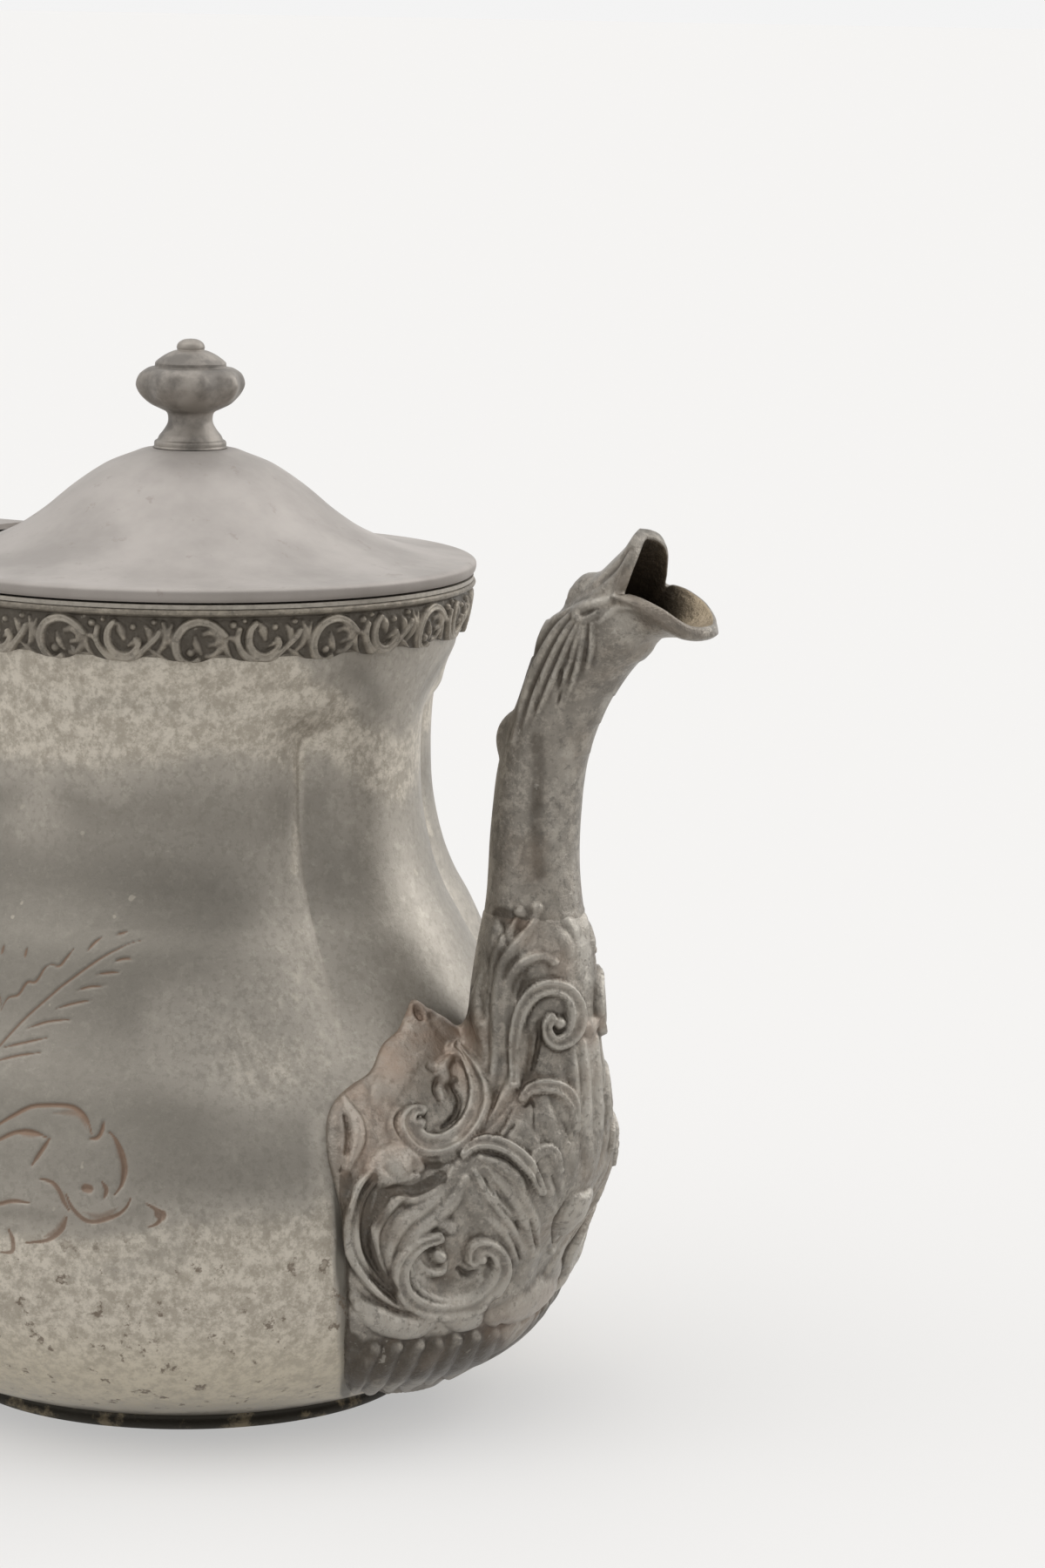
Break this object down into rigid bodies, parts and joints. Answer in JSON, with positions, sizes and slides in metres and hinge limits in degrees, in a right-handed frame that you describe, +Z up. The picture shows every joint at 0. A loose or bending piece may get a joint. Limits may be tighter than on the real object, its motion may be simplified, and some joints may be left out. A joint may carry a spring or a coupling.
{
  "type": "teapot",
  "caption": "Waisted pewter teapot with panelled neck, relief-cast swan-neck spout, insulated scroll handle and a hinged domed lid with a lobed finial.",
  "frame": {"origin": "centre of the footprint on the surface that the pot stands on", "axes": "+X towards the spout, -X towards the handle, +Z up"},
  "size_m": [0.2045, 0.136, 0.1805],
  "materials": {
    "plated_body": "worn silver plate over pewter, pitted and stained",
    "plated_lid": "matt silver plate",
    "cast_pewter": "dark cast pewter with brown in the recesses",
    "dark_pewter": "dark oxidised pewter",
    "bone": "polished bone",
    "steel": "plain",
    "brass": "plain"
  },
  "bodies": {
    "pot": {"body_bowl": "plated_body", "body_belly": "plated_body", "body_neck": "plated_body", "base_plate": "plated_body", "foot_ring": "dark_pewter", "collar_band": "dark_pewter", "rim_bezel": "plated_body", "hinge_body_leaf": "dark_pewter", "hinge_pin": "steel", "spout_left_half": "cast_pewter", "spout_right_half": "cast_pewter", "handle_grip": "cast_pewter", "handle_upper_socket": "cast_pewter", "handle_lower_socket": "cast_pewter", "handle_upper_insulator": "bone", "handle_lower_insulator": "bone", "handle_upper_pins": "steel", "handle_lower_pins": "steel"},
    "lid": {"lid_shell": "plated_lid", "lid_skirt": "plated_lid", "hinge_lid_leaf": "plated_lid", "finial_knob": "plated_lid", "finial_stud": "steel", "finial_washer": "steel", "finial_nut": "brass"}
  },
  "joints": [
    {"name": "lid_hinge", "type": "hinge", "parent": "pot", "child": "lid", "pos_m": [-0.0524, 0, 0.141], "axis": [0, -1, 0], "range_deg": [0, 100]}
  ]
}
